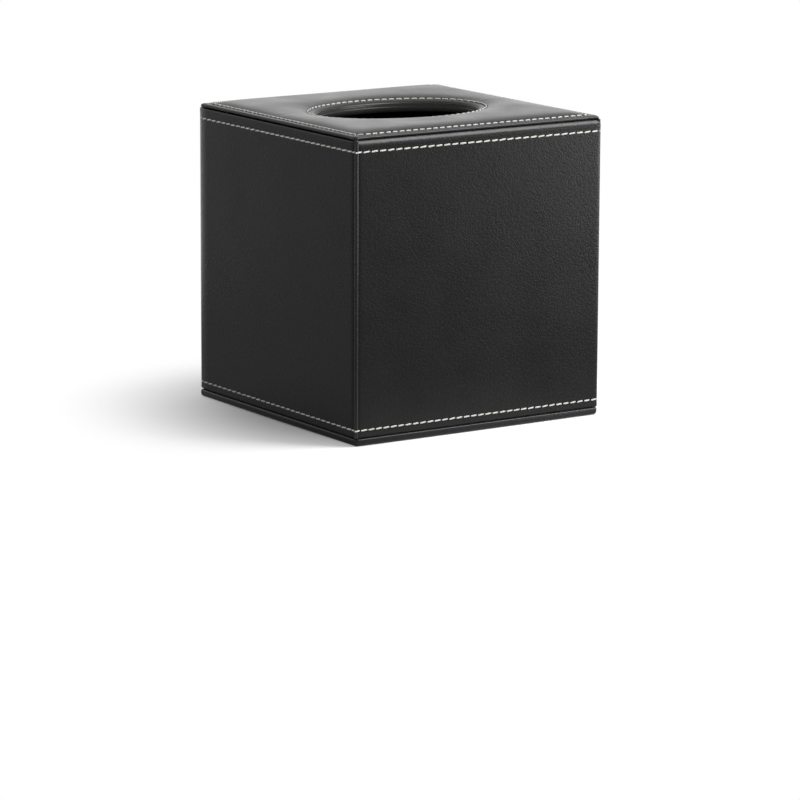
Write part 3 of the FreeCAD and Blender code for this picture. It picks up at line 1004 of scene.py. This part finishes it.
# The master stitch: the radius of its thread, its length and how far its ply turns.
THREAD = 0.37 * MM
STITCH = 3.6 * MM
PLY_TURN = 2.4
FLATTENED = 0.86
# The slant that a stitch has on average, and how far its slant and its length stray.
SLANT = math.radians(5)
SLANT_STRAY = (0.6, 1.4)
LENGTH_STRAY = (0.96, 1.03)
# A stitch at each step out from its middle: how far the thread has gone down, and how
# much of its girth is left.
DIVES = (
    (0.0, 0.0, 1.0),
    (0.5, 0.0, 1.0),
    (1.0, 0.03, 0.97),
    (1.4, 0.12, 0.88),
    (1.65, 0.28, 0.7),
    (1.8, 0.5, 0.3),
)
# The middle of the thread lies this far inside the face of a wall's hem, and this far
# above the level of the seams of the padded top, or a little lower round its opening.
THREAD_DEPTH = 0.16 * MM
THREAD_LIFT = {"edge": 0.04 * MM, "opening": -0.02 * MM}
# Between two stitches of the padded top.
STITCH_GAP = 0.5 * MM
# The upright seams of the back wall, out from its middle, and their stitches.
UPRIGHT_SEAM = 60.5 * MM
UPRIGHT_PITCH = 4.04 * MM


def make_master_stitch():
    """One stitch of two-ply thread, along X, with both ends diving into their holes."""
    stitch = start_piece(
        "master_stitch",
        bpy.ops.mesh.primitive_cylinder_add,
        vertices=8,
        radius=THREAD,
        depth=STITCH,
        rotation=(0, math.pi / 2, 0),
        scale=(1, 1, FLATTENED),
    )
    with editing(stitch):
        for away, *_ in DIVES[:-1]:
            for end in (-1, 1):
                cut_across((end * away * MM, 0, 0), (1, 0, 0))
    twist = {"deform_method": "TWIST", "deform_axis": "X", "angle": PLY_TURN}
    finish_with(stitch, "SIMPLE_DEFORM", **twist)
    with editing(stitch):
        for away, dive, girth in DIVES:
            pick(stitch, "VERT", lambda part: abs(abs(part.co.x) - away * MM) < CLOSE)
            bpy.ops.transform.resize(value=(1, girth, girth), center_override=(0, 0, 0))
            shift(0, 0, -dive * MM)
    smooth(stitch, 60)
    return stitch


def sew(name, master, places, node):
    """Lay a stitch at each place: middle, direction, outward direction and length."""
    stitches = []
    for middle, along, outward, length in places:
        stitch = master.copy()
        stitch.data = master.data.copy()
        bpy.context.collection.objects.link(stitch)
        across = outward.cross(along)
        turned = Matrix((along, across, outward)).transposed().to_4x4()
        slant = Matrix.Rotation(SLANT * chance.uniform(*SLANT_STRAY), 4, "Z")
        drawn = Matrix.Diagonal((length / STITCH * chance.uniform(*LENGTH_STRAY), 1, 1, 1))
        stitch.data.transform(Matrix.Translation(middle) @ turned @ slant @ drawn)
        stitches.append(stitch)
    only(*stitches)
    bpy.ops.object.join()
    seam = bpy.context.object
    seam.name = seam.data.name = name
    fit(seam, "box", thread, node)


def wall_places(seam, *sides):
    """The stitches of a level seam on some walls."""
    height = {"top": TOP_SEAM, "foot": FOOT_SEAM}[seam]
    places = []
    for side in sides:
        turn = SIDES[side]
        face = as_front(side + "_cover", turn)[0].y + THREAD_DEPTH
        round_to = Matrix.Rotation(turn, 3, "Z")
        for span in stitches_of(side, seam):
            start, end = (
                round_to @ Vector((at, face + depth_near_end(side, turn, at), height))
                for at in span
            )
            along = (end - start).normalized()
            places.append(((start + end) / 2, along, along.cross(UP), (end - start).length))
    return places


def upright_places():
    """The two upright seams of the back wall."""
    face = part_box("back_cover")[1].y - THREAD_DEPTH
    tall = TOP_SEAM - FOOT_SEAM
    count = round(tall / UPRIGHT_PITCH)
    step = tall / count
    outward = Vector((0, 1, 0))
    places = []
    for row in range(count):
        height = FOOT_SEAM + (row + 0.5) * step
        for side in (-1, 1):
            middle = Vector((side * UPRIGHT_SEAM, face, height))
            places.append((middle, -side * UP, outward, step - HOLE_GAP * MM))
    return places


def panel_places(seam, spots, pitch):
    """The stitches of a seam of the padded top."""
    level = (SEAM_HEIGHT + THREAD_LIFT[seam]) * UP
    return [
        (spot.to_3d() + level, direction.to_3d(), UP, pitch - STITCH_GAP)
        for spot, direction in spots
    ]


master = make_master_stitch()
round_three = ("front", "right", "left")
back_places = wall_places("top", "back") + wall_places("foot", "back") + upright_places()
rim_places = panel_places("edge", edge_places, EDGE_PITCH)
oval_places = panel_places("opening", opening_places, OPENING_PITCH)
sew("top_wall_seam", master, wall_places("top", *round_three), "wall_top_stitching")
sew("foot_wall_seam", master, wall_places("foot", *round_three), "wall_bottom_stitching")
sew("back_wall_seam", master, back_places, "back_wall_stitching")
sew("padded_edge_seam", master, rim_places, "top_edge_stitching")
sew("opening_seam", master, oval_places, "opening_stitching")
bpy.data.objects.remove(master)


# -------------------------------------------------------------------------- flap

# The flap's leatherette stands out a little round its board, and turns in over it.
FLAP_SPREAD = 0.45 * MM
FLAP_CORNER = 2.0 * MM
FLAP_FOOT_RADIUS = 1.4 * MM
FLAP_TOP_RADIUS = 0.55 * MM
TURN_IN = 1.3 * MM
TRAY_DEPTH = 2.5 * MM
# A narrow ring inside the rounded foot keeps the large face flat in its shading.
FLAT_RING = 0.3 * MM
# The hinge leather is cut into rows and columns.
HINGE_ROWS = 12
HINGE_COLUMNS = 40


def make_flap_cover():
    """The leatherette of the flap: a shallow tray, turned over its board at the top."""
    low, high = corners_of("flap_cover")
    low -= Vector((FLAP_SPREAD, FLAP_SPREAD, 0))
    high += Vector((FLAP_SPREAD, 0, 0))
    flap = start_piece(
        "flap_leatherette",
        bpy.ops.mesh.primitive_cube_add,
        scale=high - low,
        size=1,
        location=(low + high) / 2,
    )

    def is_upright(part):
        return abs(part.verts[0].co.z - part.verts[1].co.z) > MM

    def is_level_at(height):
        return lambda part: all(abs(corner.co.z - height) < CLOSE for corner in part.verts)

    with editing(flap):
        pick(flap, "EDGE", is_upright)
        bpy.ops.mesh.bevel(offset=FLAP_CORNER, segments=6, affect="EDGES")
        pick(flap, "EDGE", is_level_at(low.z))
        bpy.ops.mesh.bevel(offset=FLAP_FOOT_RADIUS, segments=5, affect="EDGES")
        pick(flap, "FACE", lambda part: part.normal.z < -0.999)
        bpy.ops.mesh.inset(thickness=FLAT_RING)
        pick(flap, "FACE", lambda part: part.normal.z > 0.9)
        bpy.ops.mesh.inset(thickness=TURN_IN)
        bpy.ops.mesh.extrude_region_move()
        shift(0, 0, -TRAY_DEPTH)
        pick(flap, "EDGE", is_level_at(high.z))
        bpy.ops.mesh.bevel(offset=FLAP_TOP_RADIUS, segments=4, affect="EDGES")
    smooth(flap, 50)
    fit(flap, "flap", leatherette, "flap_cover")


def make_hinge_leather():
    """The strip of leatherette that the flap swings on, between the two foot hems."""
    low, high = corners_of("hinge_strip")
    strip = start_piece(
        "hinge_leather",
        bpy.ops.mesh.primitive_cube_add,
        scale=high - low,
        size=1,
        location=(low + high) / 2,
    )
    with editing(strip):
        for row in range(1, HINGE_ROWS):
            cut_across((0, 0, low.z + (high.z - low.z) * row / HINGE_ROWS), (0, 0, 1))
        pick(strip, "EDGE", lambda part: abs(part.verts[0].co.x - part.verts[1].co.x) > MM)
        bpy.ops.mesh.subdivide(number_cuts=HINGE_COLUMNS)
    smooth(strip, 50)
    strip.data.materials.clear()
    strip.data.materials.append(leatherette)
    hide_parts("hinge_strip")
    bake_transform(strip)


make_flap_cover()
make_hinge_leather()


# -------------------------------------------------------------------- the stage

FLOOR_SIZE = 8
FLOOR_LEVEL = -0.1 * MM
# How far out the floor turns from paper into backdrop, for the lens and for gloss.
LENS_FADE = (0.05, 0.16)
GLOSS_FADE = (0.06, 0.16)
# How bright gloss sees the floor, and how much of the room's light falls on things.
FLOOR_IN_GLOSS = 0.37
ROOM_LIGHT = 0.38
# What the lamps face, and the middle of the box.
AIM = Vector((0, 0, 70 * MM))
MIDDLE = Vector((0, 0, 67.5 * MM))


def larger(material, first, second):
    """The larger of two values."""
    return add(material, "ShaderNodeMath", {0: first, 1: second}, operation="MAXIMUM").outputs[0]


def make_stage():
    """A pale floor. Far out it is the even white of a lit backdrop to the lens and to
    gloss; near the box it is plain paper that takes the shadow."""
    floor = start_piece(
        "studio_floor",
        bpy.ops.mesh.primitive_plane_add,
        size=FLOOR_SIZE,
        location=(0, 0, FLOOR_LEVEL),
    )
    paper, surface, place = new_finish("backdrop_paper_matt")
    surface.inputs["Base Color"].default_value = linear("#f6f6f6")
    surface.inputs["Roughness"].default_value = 1.0
    surface.inputs["Specular IOR Level"].default_value = 0.0
    ray = add(paper, "ShaderNodeLightPath").outputs
    away = add(paper, "ShaderNodeVectorMath", {0: place}, operation="LENGTH")
    mirrored = larger(paper, ray["Is Glossy Ray"], ray["Is Transmission Ray"])
    shares = []
    for seen, (near, far) in ((ray["Is Camera Ray"], LENS_FADE), (mirrored, GLOSS_FADE)):
        fade = add(
            paper,
            "ShaderNodeMapRange",
            {"Value": away.outputs["Value"], "From Min": near, "From Max": far},
            interpolation_type="SMOOTHSTEP",
        )
        links = {0: fade.outputs["Result"], 1: seen}
        share = add(paper, "ShaderNodeMath", links, operation="MULTIPLY")
        shares.append(share.outputs[0])
    level = add(
        paper,
        "ShaderNodeMapRange",
        {"Value": mirrored, "To Min": 1.0, "To Max": FLOOR_IN_GLOSS},
    )
    glow = add(
        paper,
        "ShaderNodeEmission",
        {"Color": linear("#ffffff"), "Strength": level.outputs["Result"]},
    )
    mix = add(
        paper,
        "ShaderNodeMixShader",
        {0: larger(paper, *shares), 1: surface.outputs["BSDF"], 2: glow.outputs["Emission"]},
    )
    output = next(node for node in paper.node_tree.nodes if node.type == "OUTPUT_MATERIAL")
    join_up(paper, mix.outputs["Shader"], output.inputs["Surface"])
    floor.data.materials.append(paper)


def make_world():
    """An even pale room. What the lens and the gloss of the box see of it is white."""
    world = bpy.data.worlds.new("studio")
    bpy.context.scene.world = world
    world.use_nodes = True
    world.node_tree.nodes.clear()
    ray = add(world, "ShaderNodeLightPath").outputs
    seen = larger(world, ray["Is Camera Ray"], ray["Is Glossy Ray"])
    seen = larger(world, seen, ray["Is Transmission Ray"])
    level = add(
        world, "ShaderNodeMapRange", {"Value": seen, "To Min": ROOM_LIGHT, "To Max": 1.0}
    )
    sky = add(
        world,
        "ShaderNodeBackground",
        {"Color": linear("#ffffff"), "Strength": level.outputs["Result"]},
    )
    add(world, "ShaderNodeOutputWorld", {"Surface": sky.outputs["Background"]})


def hang_light(name, towards, distance, width, height, watts):
    """A soft panel that faces the middle of the box."""
    data = bpy.data.lights.new(name, "AREA")
    data.shape = "RECTANGLE"
    data.size, data.size_y = width, height
    data.energy = watts
    light = bpy.data.objects.new(name, data)
    bpy.context.collection.objects.link(light)
    direction = Vector(towards).normalized()
    light.location = AIM + direction * distance
    light.rotation_euler = direction.to_track_quat("Z", "Y").to_euler()


# The lens: its focal length on a 36 mm frame, how it is tilted, turned and lifted in
# degrees, and its place from the middle of the box, to the right, upwards and back.
FOCAL_LENGTH = 186.14
FRAME_WIDTH = 36
LENS_ANGLES = (0.243, -33.59, 11.69)
LENS_PLACE = (0.0014175, -0.064017, 1.863)


def set_camera():
    """The lens looks at the front left corner from a little above."""
    tilt, turn, lift = (math.radians(angle) for angle in LENS_ANGLES)
    back = Vector(
        (math.sin(turn) * math.cos(lift), -math.cos(turn) * math.cos(lift), math.sin(lift))
    )
    level_right = Vector((math.cos(turn), math.sin(turn), 0))
    level_up = back.cross(level_right)
    right = math.cos(tilt) * level_right + math.sin(tilt) * level_up
    up = math.cos(tilt) * level_up - math.sin(tilt) * level_right
    data = bpy.data.cameras.new("camera")
    data.sensor_width = FRAME_WIDTH
    data.lens = FOCAL_LENGTH
    data.clip_end = 50
    camera = bpy.data.objects.new("camera", data)
    bpy.context.collection.objects.link(camera)
    axes = Matrix((right, up, back)).transposed()
    place = MIDDLE + axes @ Vector(LENS_PLACE)
    camera.matrix_world = Matrix.Translation(place) @ axes.to_4x4()
    bpy.context.scene.camera = camera


make_stage()
make_world()
# Above the front right: the shadow on the floor, and most of the light on the threads.
hang_light("key_panel", (0.54, -0.42, 0.73), 1.3, 0.6, 1.0, 25.3)
# Low at the right: a grey sheen that grows across the front wall.
hang_light("front_panel", (0.84, -0.53, 0.0), 0.7, 0.45, 0.2, 2.5)
# Small and close at the back left: a soft band on the rounded end of the left wall.
hang_light("edge_panel", (-0.09, 1.0, 0.0), 0.32, 0.2, 0.16, 0.15)
# Far behind and low: the satin glare across the padded top.
hang_light("back_panel", (0.54, 0.82, 0.14), 2.5, 0.8, 0.8, 1.4)
set_camera()
bpy.context.scene.view_settings.view_transform = "Standard"

for name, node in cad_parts.items():
    coat = {
        "board": fibreboard,
        "lining": flock,
        "backing": card,
        "padding": foam,
        "edging": edge_paint,
        "magnets": nickel,
        "stitching": thread,
    }.get(name.split("_")[-1], leatherette)
    for slot in node.material_slots:
        slot.material = coat
